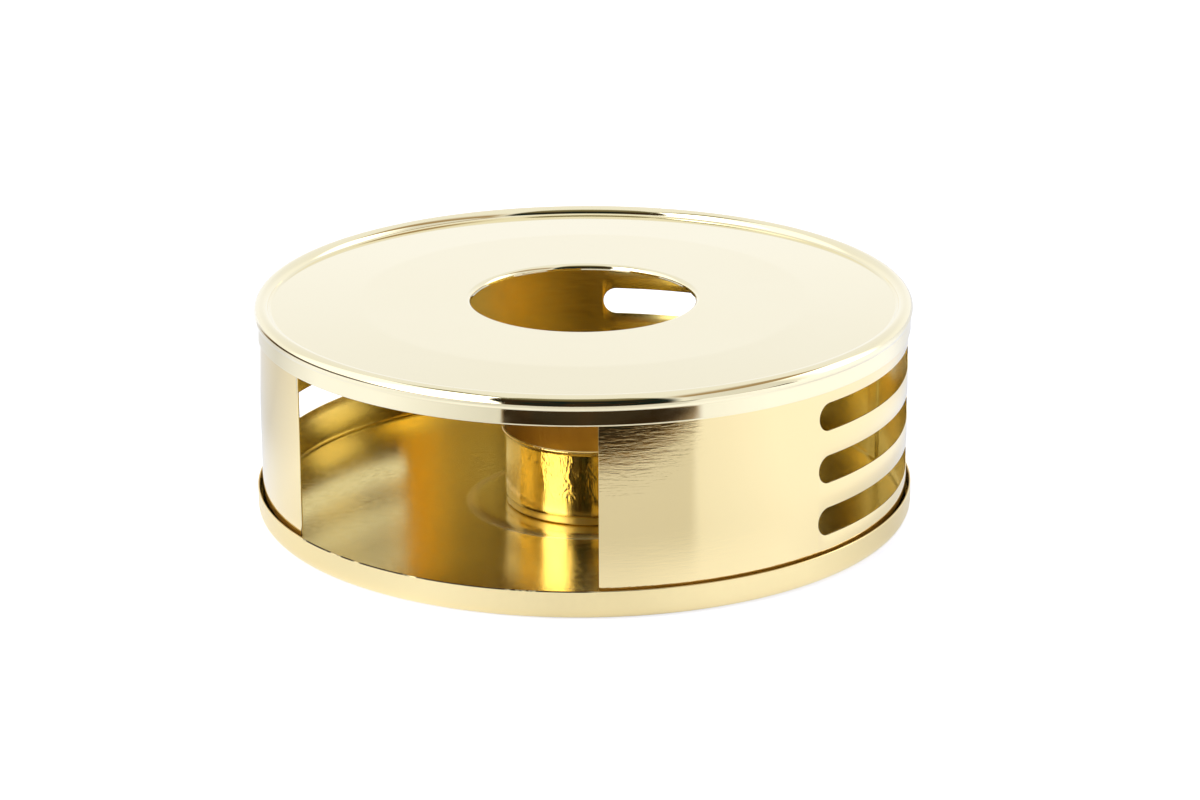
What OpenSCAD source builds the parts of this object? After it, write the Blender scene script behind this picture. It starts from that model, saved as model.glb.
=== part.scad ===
// Teapot warmer: a drum of thin gold sheet. A pressed top plate caps a rolled wall band,
// the band stands in a shallow base pan, and a drawn cup for a tealight stands inside.
// Millimetres, +Z up. The origin is on the table under the middle of the drum.
// Angles round the drum are counted from the middle of the window, which faces -Y, towards +X.

/* [Overall] */
// Height from the table to the top of the rim bead
overall_h = 50; // [40:1:70]
// Thickness of the sheet that the drum is pressed from
sheet = 0.35; // [0.25:0.05:0.5]

/* [Base pan] */
// Outside width of the base pan
pan_d = 150; // [130:1:180]
// Height of the pan's upturned rim
pan_rim_h = 6.7; // [5:0.1:9]
// Outside radius of the bend between the pan's floor and its rim
pan_bend_r = 2.6; // [2:0.1:3]
// Width of the pressed-up seat for the cup, across its foot
seat_d = 55; // [52:1:60]
// Height of the seat above the floor
seat_rise = 0.3; // [0.2:0.05:0.5]
// Width of the sloping shoulder round the seat
seat_slope_w = 4; // [3:0.1:4.5]

/* [Wall band] */
// Gap between the wall band and the pan's rim
pan_gap = 0.8; // [0.6:0.1:1]
// Length of the window along the wall
window_len = 77.3; // [60:0.1:90]
// Height of the strip left under the window
window_sill_h = 4.5; // [3:0.1:5]
// How far the window runs up behind the top plate's skirt
window_tuck = 2; // [1:0.1:2.5]
// Overall length of an air slot along the wall
slot_len = 58; // [40:1:60]
// Height of an air slot
slot_h = 6.4; // [5:0.1:7]
// Distance from one slot of a set to the next
slot_pitch = 12; // [10:0.1:12.5]
// Slots in a set
slot_count = 3; // [1:1:3]
// How far the sets sit above the middle of the wall that shows
slot_lift = 0.55; // [0:0.05:1]
// Angle from the window to the middle of each side set
side_set_angle = 93.4; // [90:0.1:98]
// Angle from the window to the middle of the back set
back_set_angle = 181.2; // [178:0.1:184]
// Angle from the window to the seam
seam_angle = 137.3; // [134:0.1:140]
// Width of the lap behind the seam
lap_w = 8; // [5:0.5:10]
// Open line between the two ends at the seam
seam_line = 0.25; // [0.15:0.05:0.4]

/* [Top plate] */
// Depth of the plate from the top of its bead to the skirt's lower edge
plate_depth = 6.6; // [6:0.1:8]
// Gap between the skirt and the wall band
skirt_gap = 0.1; // [0.05:0.05:0.2]
// How far the bead stands out past the skirt
bead_overhang = 0.4; // [0.2:0.05:0.6]
// Outside radius of the bead's section
bead_r = 1.9; // [1.7:0.05:2.2]
// Depth of the disc's flat below the top of the bead
disc_recess = 0.95; // [0.6:0.05:1.2]
// Width of the disc's flat
flat_d = 100; // [80:1:110]
// Slope at which the disc falls from its flat to the bead, in degrees
disc_slope = 1.8; // [1:0.1:2.5]
// Radius of the hollow corner between the disc and the bead
bead_foot_r = 0.5; // [0.3:0.1:0.8]
// Radius of the hollow neck between the bead and the skirt
neck_r = 0.4; // [0.3:0.1:0.8]
// Width of the heat hole
hole_d = 51.1; // [45:0.1:60]
// Depth of the collar that is turned down round the hole
collar_h = 1.4; // [1.2:0.1:3]
// Radius of the bend at the top of the collar
collar_bend_r = 1; // [0.6:0.1:1.1]

/* [Tealight cup] */
// Width of the cup's body
cup_d = 39.9; // [38:0.1:42]
// Height of the cup
cup_h = 18; // [14:0.1:22]
// Thickness of the cup's foil
cup_sheet = 0.2; // [0.15:0.05:0.3]
// Outside radius of the bend round the cup's bottom
cup_bend_r = 0.5; // [0.4:0.1:1]
// Height of the slightly narrower foot
cup_foot_h = 2.7; // [2.2:0.1:4]
// How far the foot is set in from the body
cup_foot_inset = 0.15; // [0.05:0.05:0.3]
// Height of the flare under the rim
cup_flare_h = 1.1; // [0.8:0.1:2]
// How far the flare spreads past the body
cup_flare = 0.3; // [0.1:0.05:0.4]
// Radius of the rolled rim's section
cup_rim_r = 0.35; // [0.3:0.05:0.5]
// How far the cup stands to the right of the middle
cup_x = 1.2; // [-2:0.1:2]
// How far the cup stands behind the middle
cup_y = 1.3; // [-2:0.1:2]

/* [Hidden] */

$fn = 180;
// Step along the arcs of a section, in degrees
arc_step = 10;
// Play left where one thin edge stands on a bend
seat_play = 0.05;
// Depth by which a cutter or a backing strip runs into the sheet, to leave no skin
bite = 0.05;
// Reach of a cutter past both faces of the wall
cut_over = 2;
// Height over which the cup's foot widens to its body
foot_step_h = 0.3;
// Radius of the soft bend where the disc's flat ends
slope_bend_r = 60;

pan_r = pan_d / 2;
wall_r = pan_r - sheet - pan_gap;
skirt_r = wall_r + skirt_gap + sheet;
skirt_z = overall_h - plate_depth;

bead_mid_r = skirt_r + bead_overhang - bead_r;
bead_mid_z = overall_h - bead_r;
disc_z = overall_h - disc_recess;
flat_r = flat_d / 2;
// Height of the slope's line under the middle of the bead, and of the bead above that line
slope_z = disc_z - (bead_mid_r - flat_r - slope_bend_r * tan(disc_slope / 2)) * tan(disc_slope);
bead_over_slope = (bead_mid_z - slope_z) * cos(disc_slope);
// The hollow corner touches both the slope and the bead
foot_tilt = disc_slope + asin((bead_foot_r - bead_over_slope) / (bead_r + bead_foot_r));
foot_mid_r = bead_mid_r - (bead_r + bead_foot_r) * cos(foot_tilt);
foot_mid_z = bead_mid_z + (bead_r + bead_foot_r) * sin(foot_tilt);
// The hollow neck touches both the bead and the skirt
neck_mid_r = skirt_r + neck_r;
neck_tilt = acos((neck_mid_r - bead_mid_r) / (bead_r + neck_r));
neck_mid_z = bead_mid_z - (bead_r + neck_r) * sin(neck_tilt);

hole_r = hole_d / 2;
seat_r = seat_d / 2;
// The shoulder is two equal arcs that meet on its slope
seat_tilt = 2 * atan(seat_rise / seat_slope_w);
seat_arc_r = seat_slope_w / sin(seat_tilt) / 2;

// The band's lower corner stands on the pan's bend, and its upper corner carries the bead
wall_bottom_z = pan_bend_r - drop(pan_bend_r - sheet, wall_r - (pan_r - pan_bend_r)) + seat_play;
wall_top_z = bead_mid_z + drop(bead_r - sheet, wall_r - bead_mid_r) - seat_play;
window_bottom_z = wall_bottom_z + window_sill_h;
window_top_z = skirt_z + window_tuck;
slots_mid_z = (pan_rim_h + skirt_z) / 2 + slot_lift;
slot_sets = [side_set_angle, back_set_angle, -side_set_angle];

cup_z = sheet + seat_rise;
cup_top_z = cup_z + cup_h;
cup_r = cup_d / 2;
cup_foot_r = cup_r - cup_foot_inset;

// Height of an arc of the given radius at a distance from its middle
function drop(radius, across) = sqrt(radius * radius - across * across);

// Angle of a length that is measured along the wall
function along_wall(length) = length / wall_r * 180 / PI;

// Points of an arc in a section: its two ends, and each whole step between them
function arc(middle, radius, from, to) =
    let (way = sign(to - from))
    let (first = floor(way * from / arc_step) + 1, last = ceil(way * to / arc_step) - 1)
    [for (a = concat([from], [for (i = [first:1:last]) way * i * arc_step], [to]))
        middle + radius * [cos(a), sin(a)]];

function reversed(points) = [for (i = [len(points) - 1:-1:0]) points[i]];

// One face of the top plate: its upper face at depth 0, its lower face at depth sheet
function plate_face(depth) = concat(
    [[hole_r + depth, disc_z - collar_h]],
    arc([hole_r + collar_bend_r, disc_z - collar_bend_r], collar_bend_r - depth, 180, 90),
    arc([flat_r, disc_z - slope_bend_r], slope_bend_r - depth, 90, 90 - disc_slope),
    arc([foot_mid_r, foot_mid_z], bead_foot_r + depth, -90 - disc_slope, -foot_tilt),
    arc([bead_mid_r, bead_mid_z], bead_r - depth, 180 - foot_tilt, -neck_tilt),
    arc([neck_mid_r, neck_mid_z], neck_r + depth, 180 - neck_tilt, 180),
    [[skirt_r - depth, skirt_z]]);

// One face of the base pan: its outer face at depth 0, its inner face at depth sheet
function pan_face(depth) = concat(
    [[0, seat_rise + depth]],
    arc([seat_r - seat_slope_w, seat_rise - seat_arc_r], seat_arc_r + depth, 90, 90 - seat_tilt),
    arc([seat_r, seat_arc_r], seat_arc_r - depth, -90 - seat_tilt, -90),
    arc([pan_r - pan_bend_r, pan_bend_r], pan_bend_r - depth, -90, 0),
    [[pan_r - depth, pan_rim_h]]);

// One face of the cup: its outer face at depth 0, its inner face at depth cup_sheet
function cup_face(depth) = concat(
    [[0, cup_z + depth]],
    arc([cup_foot_r - cup_bend_r, cup_z + cup_bend_r], cup_bend_r - depth, -90, 0),
    [[cup_foot_r - depth, cup_z + cup_foot_h - foot_step_h],
     [cup_r - depth, cup_z + cup_foot_h],
     [cup_r - depth, cup_top_z - cup_rim_r - cup_flare_h],
     [cup_r + cup_flare - depth, cup_top_z - cup_rim_r]]);

// Turns what faces +X to an angle counted from the middle of the window
module round_drum(angle) {
    rotate([0, 0, angle - 90])
        children();
}

// A length of ring, from one radius and height to another
module ring_sector(from_r, to_r, from_z, to_z, middle_angle, width_angle) {
    round_drum(middle_angle - width_angle / 2)
        rotate_extrude(angle = width_angle)
            translate([from_r, from_z])
                square([to_r - from_r, to_z - from_z]);
}

// A cutter through the wall
module wall_cut(from_z, to_z, middle_angle, width_angle) {
    ring_sector(wall_r - sheet - cut_over, wall_r + cut_over, from_z, to_z, middle_angle, width_angle);
}

// A cutter for one air slot with round ends, square to the sheet at the slot's middle
module slot_cut(middle_angle, middle_z) {
    half_angle = along_wall(slot_len) / 2;
    depth = wall_r * (1 - cos(half_angle)) + sheet + 2 * cut_over;
    end_x = wall_r * sin(half_angle) - slot_h / 2;
    round_drum(middle_angle)
        translate([wall_r + cut_over - depth, 0, middle_z])
            rotate([90, 0, 90])
                linear_extrude(height = depth) {
                    square([2 * end_x, slot_h], center = true);
                    for (side = [-1, 1])
                        translate([side * end_x, 0])
                            circle(d = slot_h);
                }
}

// A set of slots, one above the other
module slot_set(middle_angle) {
    for (i = [0:slot_count - 1])
        slot_cut(middle_angle, slots_mid_z + (i - (slot_count - 1) / 2) * slot_pitch);
}

// Pressed plate: disc with a flat middle, collar round the heat hole, raised rim bead and short skirt
module top_plate() {
    color([0.93, 0.86, 0.66])
        rotate_extrude()
            polygon(concat(plate_face(0), reversed(plate_face(sheet))));
}

// Rolled strip with the window, the slot sets and a lapped seam
module wall_band() {
    color([0.90, 0.80, 0.55]) {
        difference() {
            translate([0, 0, wall_bottom_z])
                cylinder(h = wall_top_z - wall_bottom_z, r = wall_r);
            cylinder(h = overall_h, r = wall_r - sheet);
            wall_cut(window_bottom_z, window_top_z, 0, along_wall(window_len));
            for (angle = slot_sets)
                slot_set(angle);
            wall_cut(0, overall_h, seam_angle, along_wall(seam_line));
        }
        ring_sector(wall_r - 2 * sheet, wall_r - sheet + bite, wall_bottom_z + sheet, wall_top_z - sheet,
            seam_angle, along_wall(lap_w));
    }
}

// Pressed pan: flat floor with a raised seat for the cup, and an upturned rim
module base_pan() {
    color([0.88, 0.76, 0.48])
        rotate_extrude()
            polygon(concat(pan_face(0), reversed(pan_face(sheet))));
}

// Drawn cup with a narrower foot, a flared mouth and a rolled rim
module tealight_cup() {
    color([0.82, 0.60, 0.20])
        translate([cup_x, cup_y, 0])
            rotate_extrude() {
                polygon(concat(cup_face(0), reversed(cup_face(cup_sheet))));
                translate([cup_r + cup_flare, cup_top_z - cup_rim_r])
                    circle(r = cup_rim_r, $fn = 32);
            }
}

top_plate();
wall_band();
base_pan();
tealight_cup();
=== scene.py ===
"""Teapot warmer of gold sheet: pressed top plate, rolled wall band, base pan and a tealight cup.

Sizes are in millimetres, as on the maker's drawing, and are turned to metres as vertices are made.
Angles round the drum are counted from the middle of the window, which faces -Y, towards +X.
"""
from math import acos, asin, atan, ceil, cos, degrees, floor, pi, radians, sin, sqrt, tan

import bmesh
import bpy
from mathutils import Matrix, Vector


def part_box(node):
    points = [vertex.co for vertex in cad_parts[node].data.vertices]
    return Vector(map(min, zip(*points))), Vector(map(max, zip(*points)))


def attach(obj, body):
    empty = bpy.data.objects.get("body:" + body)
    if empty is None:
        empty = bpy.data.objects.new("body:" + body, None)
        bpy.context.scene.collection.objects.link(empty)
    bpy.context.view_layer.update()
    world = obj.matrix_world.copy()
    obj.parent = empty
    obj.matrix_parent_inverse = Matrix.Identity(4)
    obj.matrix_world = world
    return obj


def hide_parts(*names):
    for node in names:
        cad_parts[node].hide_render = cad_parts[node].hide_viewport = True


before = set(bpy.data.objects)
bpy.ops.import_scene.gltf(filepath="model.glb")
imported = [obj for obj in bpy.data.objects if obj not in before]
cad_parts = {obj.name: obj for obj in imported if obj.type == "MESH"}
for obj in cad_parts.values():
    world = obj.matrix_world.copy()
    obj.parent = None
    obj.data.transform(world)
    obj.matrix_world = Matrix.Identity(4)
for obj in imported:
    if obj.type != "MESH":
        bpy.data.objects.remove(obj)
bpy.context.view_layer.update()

# Units
MM = 0.001

# Overall sizes, read from the frame
pan_low, pan_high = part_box("base_pan")
plate_low, plate_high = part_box("top_plate")
band_low, band_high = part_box("wall_band")
cup_low, cup_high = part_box("tealight_cup")
pan_r = pan_high.x / MM
pan_rim_h = pan_high.z / MM
overall_h = plate_high.z / MM
skirt_z = plate_low.z / MM
wall_r = band_high.x / MM
wall_bottom_z = band_low.z / MM
wall_top_z = band_high.z / MM
cup_x = (cup_low.x + cup_high.x) / 2 / MM
cup_y = (cup_low.y + cup_high.y) / 2 / MM
cup_z = cup_low.z / MM
cup_top_z = cup_high.z / MM

# Sheet, and how far the corners of its cut edges are eased
sheet = 0.35
cup_sheet = 0.2
edge_r = 0.1
skirt_edge_r = 0.2
band_edge_r = 0.07

# Base pan
pan_bend_r = 2.6
seat_r = 27.5
seat_rise = 0.3
seat_slope_w = 4.0

# Wall band
window_half_len = 77.3 / 2
window_bottom_z = wall_bottom_z + 4.5
window_top_z = skirt_z + 2.0
slot_half_len = 58.0 / 2
slot_half_h = 6.4 / 2
slot_pitch = 12.0
slots_mid_z = (pan_rim_h + skirt_z) / 2 + 0.55
slot_sets = (93.4, 181.2, 266.6)
seam_angle = 137.3
seam_line = 0.25
lap_half_w = 4.0
joggle_w = 1.2
lap_play = 0.02

# Top plate
bead_r = 1.9
bead_foot_r = 0.5
bead_overhang = 0.4
neck_r = 0.4
skirt_r = wall_r + 0.1 + sheet
disc_z = overall_h - 0.95
flat_r = 50.0
disc_slope = 1.8
slope_bend_r = 60.0
hole_r = 51.1 / 2
collar_h = 1.4
collar_bend_r = 1.0

# Tealight cup
cup_r = 39.9 / 2
cup_foot_r = cup_r - 0.15
cup_foot_h = 2.7
cup_foot_step_h = 1.2
cup_bend_r = 0.5
cup_flare_h = 1.1
cup_flare = 0.3
cup_rim_r = 0.35

# Camera, from the photograph: where it stands, and how its picture is framed in pixels
camera_azimuth = 27.65
camera_elevation = 18.589
camera_roll = -0.354
camera_distance = 865.24
camera_target_z = 25.0
picture_w = 1200
picture_h = 800
focal_px = 3776.7
middle_px_x = 583.75
middle_px_y = 397.21
sensor_w = 36.0

# Fineness
round_steps = 480
arc_step = 6.0
band_step = 0.5
slot_end_steps = 12
joggle_steps = 5
lap_steps = 4
cup_step_count = 6
# Distance within which points are merged, and distance from a bend at which its shading is flat
merge_dist = 0.0005
hold_dist = 0.4


def around(angle, radius, z):
    """A point of the drum in metres, from an angle, a radius and a height."""
    turn = radians(angle)
    return Vector((radius * sin(turn), -radius * cos(turn), z)) * MM


def along_wall(length):
    """The angle of a length that is measured along the wall."""
    return degrees(length / wall_r)


def arc(middle, radius, start, end, step=arc_step):
    """Points of an arc in a section, both ends included."""
    count = max(2, ceil(abs(end - start) / step))
    turns = [radians(start + (end - start) * i / count) for i in range(count + 1)]
    return [(middle[0] + radius * cos(t), middle[1] + radius * sin(t)) for t in turns]


def near(point, towards, distance=hold_dist):
    """A point at a distance from one point towards another, to hold the shading flat beside a bend."""
    step = Vector(towards) - Vector(point)
    return tuple(Vector(point) + step.normalized() * distance)


# Camera
def make_camera():
    """The camera of the photograph, turned about the middle of the drum."""
    a, e, roll = radians(camera_azimuth), radians(camera_elevation), radians(camera_roll)
    ahead = Vector((-sin(a) * cos(e), cos(a) * cos(e), -sin(e)))
    side = Vector((cos(a), sin(a), 0))
    up = side.cross(ahead)
    right = side * cos(roll) + up * sin(roll)
    top = up * cos(roll) - side * sin(roll)
    eye = Vector((0, 0, camera_target_z * MM)) - ahead * camera_distance * MM
    data = bpy.data.cameras.new("photo_camera")
    data.sensor_width = sensor_w
    data.lens = focal_px * sensor_w / picture_w
    data.shift_x = (picture_w / 2 - middle_px_x) / picture_w
    data.shift_y = (middle_px_y - picture_h / 2) / picture_w
    camera = bpy.data.objects.new("photo_camera", data)
    turn = Matrix((right, top, -ahead)).transposed().to_4x4()
    camera.matrix_world = Matrix.Translation(eye) @ turn
    bpy.context.collection.objects.link(camera)
    bpy.context.scene.camera = camera


make_camera()


# Mesh helpers
def finish_mesh(bm, name, sharp=35.0):
    """Merges doubles, turns the faces outwards, keeps folds over an angle crisp, and makes the object."""
    bmesh.ops.remove_doubles(bm, verts=bm.verts, dist=merge_dist * MM)
    bmesh.ops.recalc_face_normals(bm, faces=bm.faces)
    for face in bm.faces:
        face.smooth = True
    for edge in bm.edges:
        edge.smooth = len(edge.link_faces) == 2 and edge.calc_face_angle(0) < radians(sharp)
    mesh = bpy.data.meshes.new(name)
    bm.to_mesh(mesh)
    bm.free()
    piece = bpy.data.objects.new(name, mesh)
    bpy.context.collection.objects.link(piece)
    return piece


def dress(piece, node, material):
    """Puts a finished piece in the place of its CAD node."""
    piece.data.materials.clear()
    piece.data.materials.append(material)
    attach(piece, "root")
    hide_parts(node)
    return piece


def spun(section, closed=True):
    """A bmesh of a section, in radius and height, spun once round Z."""
    bm = bmesh.new()
    verts = [bm.verts.new((r * MM, 0, z * MM)) for r, z in section]
    pairs = list(zip(verts, verts[1:]))
    if closed:
        pairs.append((verts[-1], verts[0]))
    edges = [bm.edges.new(pair) for pair in pairs]
    bmesh.ops.spin(bm, geom=verts + edges, cent=(0, 0, 0), axis=(0, 0, 1), angle=2 * pi,
                   steps=round_steps, use_merge=True)
    return bm


def hem(outer, inner, end, outer_r=edge_r, inner_r=edge_r):
    """The cut edge of the sheet, from one face to the other, pointing to an angle, with eased corners."""
    across = (Vector(inner) - Vector(outer)).normalized()
    ahead = Vector((cos(radians(end)), sin(radians(end))))
    points = []
    for corner, way, r, turns in ((outer, across, outer_r, (0, 30, 60, 90)),
                                  (inner, -across, inner_r, (90, 60, 30, 0))):
        middle = Vector(corner) + way * r - ahead * r
        points += [tuple(middle - way * r * cos(radians(t)) + ahead * r * sin(radians(t))) for t in turns]
    return points


# Top plate
def plate_face(depth):
    """One face of the top plate: the upper face at depth 0, the lower one at the sheet's thickness."""
    bead_mid = (skirt_r + bead_overhang - bead_r, overall_h - bead_r)
    slope = radians(disc_slope)
    slope_z = disc_z - (bead_mid[0] - flat_r - slope_bend_r * tan(slope / 2)) * tan(slope)
    bead_over_slope = (bead_mid[1] - slope_z) * cos(slope)
    foot_tilt = disc_slope + degrees(asin((bead_foot_r - bead_over_slope) / (bead_r + bead_foot_r)))
    foot_mid = (bead_mid[0] - (bead_r + bead_foot_r) * cos(radians(foot_tilt)),
                bead_mid[1] + (bead_r + bead_foot_r) * sin(radians(foot_tilt)))
    neck_mid_r = skirt_r + neck_r
    neck_tilt = degrees(acos((neck_mid_r - bead_mid[0]) / (bead_r + neck_r)))
    neck_mid = (neck_mid_r, bead_mid[1] - (bead_r + neck_r) * sin(radians(neck_tilt)))
    collar = arc((hole_r + collar_bend_r, disc_z - collar_bend_r), collar_bend_r - depth, 180, 90)
    bend = arc((flat_r, disc_z - slope_bend_r), slope_bend_r - depth, 90, 90 - disc_slope, 0.3)
    foot = arc(foot_mid, bead_foot_r + depth, -90 - disc_slope, -foot_tilt)
    bead = arc(bead_mid, bead_r - depth, 180 - foot_tilt, -neck_tilt)
    neck = arc(neck_mid, neck_r + depth, 180 - neck_tilt, 180)
    skirt_end = (skirt_r - depth, skirt_z + 2 * skirt_edge_r)
    collar_end = (hole_r + depth, disc_z - collar_h + 2 * edge_r)
    return ([collar_end] + collar + [near(collar[-1], bend[0]), near(bend[0], collar[-1])]
            + bend + [near(bend[-1], foot[0]), near(foot[0], bend[-1], 0.15)]
            + foot + bead[1:] + neck[1:] + [near(neck[-1], skirt_end, 0.3), skirt_end])


def make_top_plate():
    """Flat disc, collar round the heat hole, raised rim bead and short skirt."""
    upper = plate_face(0)
    lower = plate_face(sheet)
    skirt_edge = hem((skirt_r, skirt_z), (skirt_r - sheet, skirt_z), -90, outer_r=skirt_edge_r)
    collar_z = disc_z - collar_h
    collar_edge = hem((hole_r + sheet, collar_z), (hole_r, collar_z), -90)
    bm = spun(upper + skirt_edge + lower[::-1] + collar_edge)
    return finish_mesh(bm, "pressed_top_plate", sharp=50.0)


# Base pan
def pan_face(depth):
    """One face of the pan: the outer face at depth 0, the inner one at the sheet's thickness."""
    tilt = 2 * degrees(atan(seat_rise / seat_slope_w))
    slope_r = seat_slope_w / sin(radians(tilt)) / 2
    crest = arc((seat_r - seat_slope_w, seat_rise - slope_r), slope_r + depth, 90, 90 - tilt, 3)
    foot = arc((seat_r, slope_r), slope_r - depth, -90 - tilt, -90, 3)
    bend = arc((pan_r - pan_bend_r, pan_bend_r), pan_bend_r - depth, -90, 0)
    rim = (pan_r - depth, pan_rim_h - 2 * edge_r)
    return ([(0, seat_rise + depth), near(crest[0], (0, crest[0][1]))] + crest + foot[1:]
            + [near(foot[-1], bend[0]), near(bend[0], foot[-1])] + bend
            + [near(bend[-1], rim, 0.3), rim])


def make_base_pan():
    """Shallow pan with a raised seat in the middle and an upturned rim."""
    rim_edge = hem((pan_r, pan_rim_h), (pan_r - sheet, pan_rim_h), 90)
    bm = spun(pan_face(0) + rim_edge + pan_face(sheet)[::-1], closed=False)
    return finish_mesh(bm, "pressed_base_pan", sharp=50.0)


# Tealight cup
def cup_face(depth):
    """One face of the cup: the outer face at depth 0, the inner one at the foil's thickness."""
    rim_z = cup_top_z - cup_rim_r
    bend = arc((cup_foot_r - cup_bend_r, cup_z + cup_bend_r), cup_bend_r - depth, -90, 0, 15)
    parts = [i / cup_step_count for i in range(cup_step_count + 1)]
    step = [(cup_foot_r + (cup_r - cup_foot_r) * (1 - cos(pi * part)) / 2 - depth,
             cup_z + cup_foot_h - cup_foot_step_h * (1 - part)) for part in parts]
    flare = [(cup_r - depth, rim_z - cup_flare_h),
             (cup_r - depth + cup_flare / 3, rim_z - cup_flare_h / 2)]
    return ([(0, cup_z + depth), near(bend[0], (0, bend[0][1]), 0.3)] + bend
            + [near(bend[-1], (bend[-1][0], cup_top_z), 0.2)] + step + flare)


def make_tealight_cup():
    """Drawn foil cup with a narrower foot, a flared mouth and a rolled rim."""
    rim_mid = (cup_r + cup_flare, cup_top_z - cup_rim_r)
    roll = arc(rim_mid, cup_rim_r, -80, 215, 15)
    bm = spun(cup_face(0) + roll + cup_face(cup_sheet)[::-1], closed=False)
    bmesh.ops.translate(bm, verts=bm.verts, vec=(cup_x * MM, cup_y * MM, 0))
    return finish_mesh(bm, "drawn_tealight_cup", sharp=60.0)


# Wall band
def slot_opening(angle):
    """Half the height of the air slots at an angle, or None where no slot is cut."""
    for middle in slot_sets:
        along = abs(angle - middle) / along_wall(1)
        if along <= slot_half_len:
            into_end = max(0.0, along - (slot_half_len - slot_half_h))
            return sqrt(max(0.0, slot_half_h ** 2 - into_end ** 2))
    return None


def band_angles():
    """The angles of the band's columns: even steps, finer round the slots' ends, from seam to lap."""
    start = seam_angle + along_wall(seam_line / 2)
    end = seam_angle + 360 - along_wall(seam_line / 2)
    angles = {start, end}
    angles.update(i * band_step for i in range(ceil(start / band_step), floor(end / band_step) + 1))
    for middle in slot_sets:
        lifted = middle if middle > start else middle + 360
        for side in (-1, 1):
            for i in range(slot_end_steps + 1):
                along = slot_half_len - slot_half_h * (1 - sin(radians(90 * i / slot_end_steps)))
                angles.add(lifted + side * along_wall(along))
    for side in (-1, 1):
        angles.add(360 + side * along_wall(window_half_len))
    for i in range(1, joggle_steps):
        angles.add(end - along_wall(joggle_w) * i / joggle_steps)
    for i in range(1, lap_steps + 1):
        angles.add(end + along_wall(seam_line + lap_half_w) * i / lap_steps)
    return sorted(angles)


# Rows of the band from its lower to its upper edge: the slots' edges, and one line in each bar.
# An opening is named by the row at its lower edge, and the window ends at its upper row.
slot_rows = (2, 5, 8)
window_low_row, window_high_row = 2, 9
row_count = 12
# Half the height between the slots' rows where no slot is cut
blind_half_h = 1.6
# The rows run to the window's height from this many half windows off its middle, over this stretch
window_reach = 1.2
window_run = 0.2


def row_heights(angle):
    """The heights of the band's rows at an angle."""
    half = slot_opening((angle - seam_angle) % 360 + seam_angle)
    if half is None:
        half = slot_opening((angle - seam_angle) % 360 + seam_angle - 360)
    from_window = abs(angle - 360) / along_wall(window_half_len)
    if half is None:
        half = blind_half_h
    mids = [slots_mid_z + (i - 1) * slot_pitch for i in range(3)]
    low, high = mids[0] - half, mids[2] + half
    if from_window < window_reach:
        share = min(1.0, (window_reach - from_window) / window_run)
        low += (window_bottom_z - low) * share
        high += (window_top_z - high) * share
    return [wall_bottom_z, (wall_bottom_z + low) / 2, low, mids[0] + half,
            (mids[0] + mids[1]) / 2, mids[1] - half, mids[1] + half,
            (mids[1] + mids[2]) / 2, mids[2] - half, high,
            (high + wall_top_z) / 2, wall_top_z]


def joggle(angle):
    """How far the band steps inwards to lie behind its other end."""
    end = seam_angle + 360 - along_wall(seam_line / 2)
    into = (angle - end) / along_wall(joggle_w) + 1
    into = min(1.0, max(0.0, into))
    return (sheet + lap_play) * into * into * (3 - 2 * into)


def make_wall_band():
    """Rolled strip with the window, three sets of slots and a lapped seam."""
    angles = band_angles()
    columns = len(angles)
    bm = bmesh.new()
    bmesh.ops.create_grid(bm, x_segments=columns - 1, y_segments=row_count - 1, size=1)
    bm.verts.ensure_lookup_table()
    order = sorted(bm.verts, key=lambda v: (round(v.co.x, 5), v.co.y))
    place = {v: divmod(i, row_count) for i, v in enumerate(order)}
    gone = []
    for face in bm.faces:
        column = min(place[v][0] for v in face.verts)
        row = min(place[v][1] for v in face.verts)
        middle = (angles[column] + angles[column + 1]) / 2
        in_window = (abs(middle - 360) < along_wall(window_half_len)
                     and window_low_row <= row < window_high_row)
        wrapped = (middle - seam_angle) % 360 + seam_angle
        slotted = slot_opening(wrapped) is not None or slot_opening(wrapped - 360) is not None
        in_slot = slotted and row in slot_rows
        if in_window or (in_slot and middle < seam_angle + 360):
            gone.append(face)
    bmesh.ops.delete(bm, geom=gone, context="FACES")
    for v in bm.verts:
        column, row = place[v]
        v.co = around(angles[column], wall_r - joggle(angles[column]), row_heights(angles[column])[row])
    made = bmesh.ops.extrude_face_region(bm, geom=bm.faces[:], use_keep_orig=True)
    for v in made["geom"]:
        if isinstance(v, bmesh.types.BMVert):
            flat = Vector((v.co.x, v.co.y))
            v.co.x, v.co.y = flat * (1 - sheet * MM / flat.length)
    bmesh.ops.remove_doubles(bm, verts=bm.verts, dist=merge_dist * MM)
    bmesh.ops.recalc_face_normals(bm, faces=bm.faces)
    corners = [e for e in bm.edges if len(e.link_faces) == 2 and e.calc_face_angle(0) > radians(60)]
    bmesh.ops.bevel(bm, geom=corners, offset=band_edge_r * MM, offset_type="OFFSET", segments=2, profile=0.5,
                    affect="EDGES", clamp_overlap=True, material=-1)
    return finish_mesh(bm, "rolled_wall_band", sharp=50.0)


# Materials
def add(tree, kind, sockets=None, **settings):
    """Adds a node, and gives its sockets values or links."""
    made = tree.nodes.new(kind)
    for name, value in settings.items():
        setattr(made, name, value)
    for name, value in (sockets or {}).items():
        if isinstance(value, bpy.types.NodeSocket):
            tree.links.new(value, made.inputs[name])
        else:
            made.inputs[name].default_value = value
    return made


def reckon(tree, operation, *values):
    """The result of a math operation on numbers or sockets."""
    return add(tree, "ShaderNodeMath", dict(enumerate(values)), operation=operation).outputs[0]


def times(tree, one, other):
    """The product of two numbers or sockets."""
    return reckon(tree, "MULTIPLY", one, other)


def rest_of(tree, share):
    """What a share leaves of one."""
    return reckon(tree, "SUBTRACT", 1.0, share)


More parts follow.
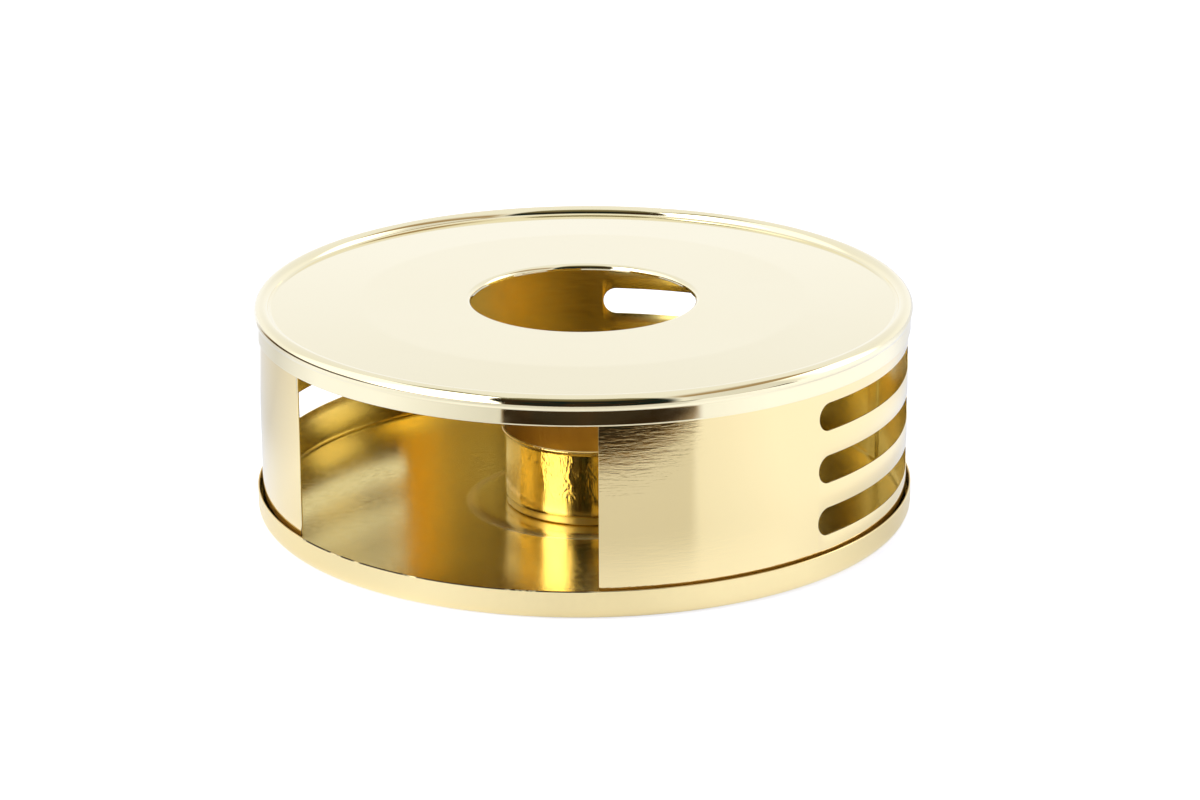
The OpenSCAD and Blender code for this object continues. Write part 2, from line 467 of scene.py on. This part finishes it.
def blend(tree, value, low, high, start=0.0, end=1.0):
    """Runs smoothly from a start to an end as a value goes from a low to a high one."""
    sockets = {"Value": value, "From Min": low, "From Max": high, "To Min": start, "To Max": end}
    return add(tree, "ShaderNodeMapRange", sockets, interpolation_type="SMOOTHSTEP").outputs["Result"]


def beyond(tree, value, low, high):
    """0 up to the low place and 1 past the high one, both in millimetres."""
    return blend(tree, value, low * MM, high * MM)


def short_of(tree, value, low, high):
    """1 up to the low place and 0 past the high one, both in millimetres."""
    return blend(tree, value, low * MM, high * MM, 1.0, 0.0)


def run(tree, value, low, high, stops):
    """Goes through stops, greys or colours, as a value goes from the low to the high one."""
    sockets = {"Value": value, "From Min": low, "From Max": high}
    part = add(tree, "ShaderNodeMapRange", sockets).outputs["Result"]
    made = add(tree, "ShaderNodeValToRGB", {"Fac": part})
    ramp = made.color_ramp
    while len(ramp.elements) < len(stops):
        ramp.elements.new(0.5)
    for element, (at, shade) in zip(ramp.elements, stops):
        element.position = (at - low) / (high - low)
        element.color = (*shade, 1) if isinstance(shade, tuple) else (shade, shade, shade, 1)
    return made.outputs["Color"]


def mixed(tree, amount, one, other):
    """A colour between two, each of them a colour or a socket."""
    one, other = [(*end, 1) if isinstance(end, tuple) else end for end in (one, other)]
    return add(tree, "ShaderNodeMix", {0: amount, 6: one, 7: other}, data_type="RGBA").outputs[2]


def sheet_places(tree):
    """The place of each point of a piece in metres, its height, and its distance from the drum's axis."""
    place = add(tree, "ShaderNodeTexCoord").outputs["Object"]
    x, y, z = add(tree, "ShaderNodeSeparateXYZ", {0: place}).outputs
    radius = reckon(tree, "SQRT", reckon(tree, "MULTIPLY_ADD", y, y, times(tree, x, x)))
    return place, z, radius


def grain(tree, place, fineness, detail=2.0, roughness=0.5, distortion=0.0, stretch=(1, 1, 1)):
    """Noise over a piece, with a size in features per metre, stretched along its axes."""
    fitted = add(tree, "ShaderNodeMapping", {"Vector": place, "Scale": stretch}).outputs["Vector"]
    sockets = {"Vector": fitted, "Scale": fineness, "Detail": detail, "Roughness": roughness,
               "Distortion": distortion}
    return add(tree, "ShaderNodeTexNoise", sockets).outputs["Fac"]


def uneven(tree, place, fineness, low, high, detail=2.0, stretch=(1, 1, 1)):
    """A level that wanders between a low and a high one over a piece."""
    return blend(tree, grain(tree, place, fineness, detail=detail, stretch=stretch), 0.3, 0.7, low, high)


def gold_sheet(name, roughness, coat):
    """Gold lacquered sheet: metal under a clear coat. Returns the material, its tree and its shader."""
    material = bpy.data.materials.new(name)
    material.use_nodes = True
    tree = material.node_tree
    shader = tree.nodes["Principled BSDF"]
    shader.inputs["Metallic"].default_value = 1.0
    shader.inputs["Roughness"].default_value = roughness
    shader.inputs["Coat Weight"].default_value = coat
    shader.inputs["Coat Roughness"].default_value = 0.04
    return material, tree, shader


def relief(tree, shader, heights):
    """Lays heights in metres over each other as bumps of the surface."""
    normal = None
    for height, depth in heights:
        sockets = {"Height": height, "Distance": depth, "Strength": 1.0}
        if normal is not None:
            sockets["Normal"] = normal
        normal = add(tree, "ShaderNodeBump", sockets).outputs["Normal"]
    tree.links.new(normal, shader.inputs["Normal"])


# Golds, each with the one that it clouds into. All were chosen to match the photograph.
# The top plate's gold is a paler copy of the band's and the pan's: painted light, for the paler look of the
# bright reflections on the disc
disc_lit_gold, disc_lit_cloud = (0.93, 0.86, 0.61), (0.92, 0.84, 0.57)
band_gold, band_cloud = (0.92, 0.77, 0.42), (0.91, 0.75, 0.39)
pan_gold, pan_cloud = (0.92, 0.78, 0.44), (0.91, 0.76, 0.41)
foil_gold, foil_cloud = (0.95, 0.70, 0.27), (0.93, 0.68, 0.22)
# The inner and lower faces of the sheet are set a deeper gold than its outer ones: painted shade for the
# darker light inside the drum and under the bead
inside_shade_gold = (0.82, 0.66, 0.24)
# Stand-ins for what the photograph shows: painted shade in the rim's gap, a painted highlight on the seat's
# shoulder, and a ragged dark line on the cut rim
gap_shade_bronze = (0.75, 0.48, 0.15)
shoulder_highlight_gold = (1.0, 0.80, 0.36)
ragged_line_brown = (0.06, 0.035, 0.015)


def plate_finish():
    """Pressed sheet, close to a mirror: a faint orange peel and the long waves of the pressing."""
    material, tree, shader = gold_sheet("plate_lacquered_gold", 0.06, 1.0)
    place, _, radius = sheet_places(tree)
    outside_gold = mixed(tree, grain(tree, place, 26, detail=3), disc_lit_gold, disc_lit_cloud)
    # Faces that look down near the skirt take the deeper gold: painted shade under the bead and skirt
    facing = add(tree, "ShaderNodeTexCoord").outputs["Normal"]
    upwards = add(tree, "ShaderNodeSeparateXYZ", {0: facing}).outputs[2]
    downwards = blend(tree, upwards, -0.6, -0.3, 1.0, 0.0)
    under = times(tree, downwards, short_of(tree, radius, skirt_r - 1.0, skirt_r))
    tree.links.new(mixed(tree, under, outside_gold, inside_shade_gold), shader.inputs["Base Color"])
    tree.links.new(uneven(tree, place, 420, 0.04, 0.08, detail=3), shader.inputs["Roughness"])
    waves = grain(tree, place, 55, detail=1)
    peel = grain(tree, place, 900, detail=1)
    relief(tree, shader, [(waves, 0.00004), (peel, 0.0000005)])
    return material


def band_finish():
    """Rolled sheet: fine ripples run along the strip outside, and the inside is satin."""
    material, tree, shader = gold_sheet("band_rolled_gold", 0.1, 1.0)
    place, _, radius = sheet_places(tree)
    inside = short_of(tree, radius, wall_r - 0.7 * sheet, wall_r - 0.3 * sheet)
    outside = rest_of(tree, inside)
    outside_gold = mixed(tree, grain(tree, place, 30, detail=3), band_gold, band_cloud)
    # The inner face takes the deeper gold: painted shade inside the drum
    tree.links.new(mixed(tree, inside, outside_gold, inside_shade_gold), shader.inputs["Base Color"])
    rough = uneven(tree, place, 300, 0.05, 0.09, detail=3, stretch=(1, 1, 5))
    tree.links.new(reckon(tree, "MULTIPLY_ADD", inside, 0.13, rough), shader.inputs["Roughness"])
    ripple = grain(tree, place, 190, detail=3, roughness=0.6, distortion=0.4, stretch=(1, 1, 8))
    wave = times(tree, grain(tree, place, 40, detail=1), blend(tree, inside, 0, 1, 1, 0.3))
    relief(tree, shader, [(wave, 0.00005), (times(tree, ripple, outside), 0.00002)])
    tree.links.new(outside, shader.inputs["Coat Weight"])
    return material


# A ragged dark line lies on top of the pan's rim, in front of this line across the drum
ragged_line_back_y = -65.0
ragged_line_fade = 1.5


def pan_finish():
    """Pressed sheet with a satin floor, a smooth rim and a ragged dark line on the rim's front; painted shade
    on the floor and in the rim's gap, and a painted highlight on the seat's shoulder.
    """
    material, tree, shader = gold_sheet("pan_pressed_gold", 0.14, 0.0)
    place, z, radius = sheet_places(tree)
    y = add(tree, "ShaderNodeSeparateXYZ", {0: place}).outputs[1]
    # The floor takes the deeper gold: painted shade inside the drum
    on_floor = short_of(tree, radius, pan_r - 1.6, pan_r - 1.0)
    # The rim's inner side by the gap is painted a dull bronze: painted shade in the gap
    gap_side = times(tree, beyond(tree, z, pan_rim_h - 2.0, pan_rim_h - 1.5),
                     short_of(tree, radius, pan_r - 0.26, pan_r - 0.12))
    # The seat's shoulder is painted a paler, duller gold: a painted highlight
    shoulder_highlight = times(tree, beyond(tree, radius, seat_r - seat_slope_w, seat_r - 1.0),
                     short_of(tree, radius, seat_r - 0.6, seat_r + 0.2))
    ragged = blend(tree, grain(tree, place, 260, detail=3, roughness=0.7), 0.40, 0.47)
    in_front = short_of(tree, y, ragged_line_back_y - ragged_line_fade, ragged_line_back_y)
    ragged_line = times(tree, beyond(tree, z, pan_rim_h - 0.24, pan_rim_h - 0.16), times(tree, ragged, in_front))
    colour = mixed(tree, grain(tree, place, 34, detail=3), pan_gold, pan_cloud)
    for share, gold in ((on_floor, inside_shade_gold), (gap_side, gap_shade_bronze), (shoulder_highlight, shoulder_highlight_gold),
                        (ragged_line, ragged_line_brown)):
        colour = mixed(tree, share, colour, gold)
    tree.links.new(colour, shader.inputs["Base Color"])
    dull = reckon(tree, "MULTIPLY_ADD", shoulder_highlight, 0.3, times(tree, gap_side, 0.75))
    tree.links.new(rest_of(tree, dull), shader.inputs["Metallic"])
    rough = uneven(tree, place, 700, 0.16, 0.22)
    tree.links.new(reckon(tree, "MULTIPLY_ADD", ragged_line, 0.4, rough), shader.inputs["Roughness"])
    waves = grain(tree, place, 60, detail=1)
    peel = grain(tree, place, 1300, detail=1)
    relief(tree, shader, [(waves, 0.00005), (peel, 0.0000009)])
    return material


def cup_finish():
    """Drawn foil: upright draw lines and wrinkles on the wall, uneven gloss and a deep orange gold."""
    material, tree, shader = gold_sheet("cup_drawn_foil", 0.13, 1.0)
    place, z, _ = sheet_places(tree)
    colour = mixed(tree, grain(tree, place, 120, detail=3), foil_gold, foil_cloud)
    tree.links.new(colour, shader.inputs["Base Color"])
    to_middle = (-cup_x * MM, -cup_y * MM, 0)
    middle = add(tree, "ShaderNodeMapping", {"Vector": place, "Location": to_middle}).outputs[0]
    flat = add(tree, "ShaderNodeVectorMath", {0: middle, 1: (1, 1, 0)}, operation="MULTIPLY").outputs[0]
    from_middle = add(tree, "ShaderNodeVectorMath", {0: flat}, operation="LENGTH").outputs["Value"]
    inside = short_of(tree, from_middle, cup_r - 0.7 * cup_sheet, cup_r - 0.3 * cup_sheet)
    rough = uneven(tree, place, 900, 0.09, 0.18, stretch=(1, 1, 0.12))
    tree.links.new(reckon(tree, "MULTIPLY_ADD", inside, 0.2, rough), shader.inputs["Roughness"])
    draw = grain(tree, place, 520, detail=2, stretch=(1, 1, 0.08))
    wrinkle = grain(tree, place, 620, detail=2, distortion=1.2, stretch=(1, 1, 0.45))
    in_patches = blend(tree, grain(tree, place, 90, detail=1), 0.40, 0.55)
    wrinkled = times(tree, in_patches, beyond(tree, z, cup_z + 4.5, cup_z + 7.0))
    relief(tree, shader, [(draw, 0.00003), (times(tree, wrinkle, wrinkled), 0.00016)])
    return material


dress(make_top_plate(), "top_plate", plate_finish())
dress(make_wall_band(), "wall_band", band_finish())
dress(make_base_pan(), "base_pan", pan_finish())
dress(make_tealight_cup(), "tealight_cup", cup_finish())


# Places round the drum, for the table and the studio
def turn_of(tree, one, other):
    """The angle in degrees whose tangent is one value over another."""
    return times(tree, reckon(tree, "ARCTAN2", one, other), 180 / pi)


def camera_places(tree, place):
    """A place turned to face the camera, with its parts to the right, towards the camera and up.

    The azimuth comes last: it is 0 towards the camera, and counts to the right in degrees.
    """
    turning = (0, 0, radians(-camera_azimuth))
    turned = add(tree, "ShaderNodeMapping", {"Vector": place, "Rotation": turning}).outputs[0]
    x, y, z = add(tree, "ShaderNodeSeparateXYZ", {0: turned}).outputs
    towards = times(tree, y, -1)
    return turned, x, towards, z, turn_of(tree, x, towards)


# Table, in millimetres and degrees. A pair is where a change starts and ends.
table_front = -200.0
table_reach = 2500.0
table_glow_colour = (0.94, 1.0, 1.18, 1)
# Glow that the metal mirrors, by azimuth, close to the drum and further out
near_zone = (85, 125)
close_glow = ((-150, 0.05), (-100, 0.28), (-57, 0.40), (-30, 0.56), (-5, 0.36), (10, 0.36),
              (25, 0.50), (45, 0.55), (70, 0.34), (110, 0.30), (150, 0.05))
far_glow = ((-175, 0.14), (-140, 0.12), (-112, 0.05), (-86, 0.42), (-60, 0.42), (-25, 0.08), (26, 0.08),
            (37, 0.14), (55, 0.25), (100, 0.25), (125, 0.18), (150, 0.15), (175, 0.14))
# Past a straight line on each side the table stays lit further forward. A line is a share of the
# distance to the right and one of the distance towards the camera.
right_line, right_line_fade = (0.788, -0.616), (-30, -14)
left_line, left_line_fade = (-0.883, -0.469), (-21, -16)
# Past the right line the metal also mirrors more glow, up to this azimuth
right_glow, right_glow_fade, right_glow_end = 0.23, (-28, -20), (105, 135)
# The table goes dark in front of the drum, and at its far ends left and right
front_fade = (160, 186)
end_fade = (235, 270)
dark_ends = ((-135, 0.0), (-122, 0.9), (-45, 0.9), (-38, 0.0), (38, 0.0), (42, 0.45),
             (57, 0.45), (60, 1.0), (66, 1.0), (68, 0.0))
# Emission that whitens the table for the camera: its level where unlit, and what being lit takes off
camera_white = 1.3
camera_white_lit = 0.7
table_shades = ((0, (0.03, 0.018, 0.008)), (0.5, (0.30, 0.20, 0.10)), (1, (0.71, 0.71, 0.71)))


def table_finish():
    """White to the camera. In the metal's reflections the table has its own glow and goes dark in front."""
    material = bpy.data.materials.new("table_white")
    material.use_nodes = True
    tree = material.node_tree
    shader = tree.nodes["Principled BSDF"]
    shader.inputs["Roughness"].default_value = 0.9
    shader.inputs["Specular IOR Level"].default_value = 0.0
    shader.inputs["Emission Color"].default_value = table_glow_colour
    path = add(tree, "ShaderNodeLightPath").outputs
    place = add(tree, "ShaderNodeTexCoord").outputs["Object"]
    _, x, towards, _, azimuth = camera_places(tree, place)
    radius = reckon(tree, "SQRT", reckon(tree, "MULTIPLY_ADD", x, x, times(tree, towards, towards)))

    def past(line):
        """How far a place lies past a line, in metres."""
        return reckon(tree, "ADD", times(tree, x, line[0]), times(tree, towards, line[1]))

    past_right, past_left = past(right_line), past(left_line)
    close = run(tree, azimuth, -180, 180, close_glow)
    far = run(tree, azimuth, -180, 180, far_glow)
    more = times(tree, times(tree, beyond(tree, past_right, *right_glow_fade), right_glow),
                 blend(tree, azimuth, *right_glow_end, 1, 0))
    near_drum = short_of(tree, radius, *near_zone)
    glow = add(tree, "ShaderNodeMix", {0: near_drum, 2: reckon(tree, "ADD", far, more), 3: close}).outputs[0]
    sides = reckon(tree, "MAXIMUM", beyond(tree, past_left, *left_line_fade),
                   beyond(tree, past_right, *right_line_fade))
    lit = reckon(tree, "MAXIMUM", short_of(tree, towards, *front_fade), sides)
    ended = times(tree, run(tree, azimuth, -180, 180, dark_ends), beyond(tree, radius, *end_fade))
    lit = times(tree, lit, rest_of(tree, ended))
    tree.links.new(run(tree, lit, 0, 1, table_shades), shader.inputs["Base Color"])
    mirrored = times(tree, path["Is Glossy Ray"], times(tree, glow, lit))
    to_camera = reckon(tree, "SUBTRACT", camera_white, times(tree, lit, camera_white_lit))
    strength = reckon(tree, "MULTIPLY_ADD", path["Is Camera Ray"], to_camera, mirrored)
    tree.links.new(strength, shader.inputs["Emission Strength"])
    return material


def make_table():
    """A table that ends a little in front of the drum, square to the camera."""
    bm = bmesh.new()
    bmesh.ops.create_grid(bm, x_segments=1, y_segments=1, size=1)
    for v in bm.verts:
        v.co = Vector((v.co.x * table_reach, table_front if v.co.y < 0 else table_reach, 0)) * MM
    turn = Matrix.Rotation(radians(camera_azimuth), 3, "Z")
    bmesh.ops.rotate(bm, verts=bm.verts, cent=(0, 0, 0), matrix=turn)
    mesh = bpy.data.meshes.new("table")
    bm.to_mesh(mesh)
    bm.free()
    table = bpy.data.objects.new("table", mesh)
    bpy.context.collection.objects.link(table)
    table.data.materials.append(table_finish())


make_table()


# Studio, in degrees. A pair is where a change starts and ends.
left_outer_edge = (-122, -108)
left_inner_edge = (-30, -27)
left_lean = 12
left_top_line = (-0.966 * 1.8, 0.259 * 1.8)
left_top_fade = (-0.06, 0.04)
left_gap_rise = (17, 23)
right_inner_edge = (30, 40)
right_outer_edge = (108, 122)
right_top_slope = 0.9
right_top_fade = (-0.1, 0.05)
right_gap_rise = (20, 36)
room_left_edge = (-29, -27)
room_right_edge = (28, 34)
room_top = (14, 18)
# Levels from the start to the end of a change, where 1 is white
white_rise, white_levels = (12, 26), (1.02, 0.93)
left_panel_span, left_panel_levels = (-82, -62), (1.35, 3.4)
right_panel_span, right_panel_levels = (70, 105), (0.8, 2.5)
left_gap_colour = (0.30, 0.27, 0.18)
right_gap_colour = (0.42, 0.30, 0.17)
# The room in front is a patchy dark, olive high up and brown low down
room_teal = (0.004, 0.014, 0.013)
room_brown = (0.045, 0.024, 0.010)
room_olive, olive_rise = (0.25, 0.22, 0.12), (36, 64)
room_low, low_rise = (0.09, 0.05, 0.02), (-21, -17)


def make_studio():
    """What lights the drum and is mirrored in it: white, two side panels, and a dark room in front.

    The camera itself sees plain white, so the metal doesn't mirror the background of the picture.
    """
    world = bpy.data.worlds.new("studio")
    bpy.context.scene.world = world
    world.use_nodes = True
    tree = world.node_tree
    tree.nodes.clear()
    around_drum = add(tree, "ShaderNodeTexCoord").outputs["Generated"]
    turned, x, towards, z, azimuth = camera_places(tree, around_drum)
    elevation = times(tree, reckon(tree, "ARCSINE", z), 180 / pi)
    from_zenith = turn_of(tree, towards, z)
    leftwards = turn_of(tree, times(tree, x, -1), z)
    rightwards = times(tree, leftwards, -1)

    def grey(level):
        """A grey of a level."""
        return add(tree, "ShaderNodeCombineColor", dict.fromkeys(range(3), level)).outputs[0]

    # Each side panel has two edges in azimuth and a straight top, with a duller gap above it
    left_reach = reckon(tree, "ADD", times(tree, x, left_top_line[0]), times(tree, towards, left_top_line[1]))
    left_top = blend(tree, reckon(tree, "SUBTRACT", z, left_reach), *left_top_fade)
    leaning = reckon(tree, "MULTIPLY_ADD", reckon(tree, "MAXIMUM", z, 0), left_lean, azimuth)
    left_span = times(tree, blend(tree, leaning, *left_inner_edge, 1, 0),
                      blend(tree, azimuth, *left_outer_edge))
    right_reach = times(tree, x, right_top_slope)
    right_top = blend(tree, reckon(tree, "SUBTRACT", z, right_reach), *right_top_fade)
    right_span = times(tree, blend(tree, azimuth, *right_inner_edge),
                       blend(tree, azimuth, *right_outer_edge, 1, 0))
    left_gap = times(tree, times(tree, left_span, left_top), blend(tree, leftwards, *left_gap_rise))
    right_gap = times(tree, times(tree, right_span, right_top), blend(tree, rightwards, *right_gap_rise))
    left_panel = times(tree, left_span, rest_of(tree, left_top))
    right_panel = times(tree, right_span, rest_of(tree, right_top))

    room = times(tree, blend(tree, leaning, *room_left_edge), blend(tree, azimuth, *room_right_edge, 1, 0))
    dark = times(tree, room, blend(tree, from_zenith, *room_top))
    patches = add(tree, "ShaderNodeTexNoise", {"Vector": turned, "Scale": 5.0, "Detail": 2.0}).outputs["Fac"]
    room_colour = mixed(tree, blend(tree, patches, 0.4, 0.62), room_teal, room_brown)
    room_colour = mixed(tree, blend(tree, elevation, *olive_rise), room_colour, room_olive)
    room_colour = mixed(tree, blend(tree, elevation, *low_rise, 1, 0), room_colour, room_low)

    seen = grey(blend(tree, elevation, *white_rise, *white_levels))
    for share, over in (
            (left_gap, left_gap_colour), (right_gap, right_gap_colour),
            (left_panel, grey(blend(tree, azimuth, *left_panel_span, *left_panel_levels))),
            (right_panel, grey(blend(tree, azimuth, *right_panel_span, *right_panel_levels))),
            (dark, room_colour)):
        seen = mixed(tree, share, seen, over)
    path = add(tree, "ShaderNodeLightPath").outputs
    final = mixed(tree, path["Is Camera Ray"], seen, (1, 1, 1))
    background = add(tree, "ShaderNodeBackground", {"Color": final, "Strength": 1.0})
    output = add(tree, "ShaderNodeOutputWorld")
    tree.links.new(background.outputs[0], output.inputs["Surface"])


make_studio()
bpy.context.scene.view_settings.view_transform = "Standard"
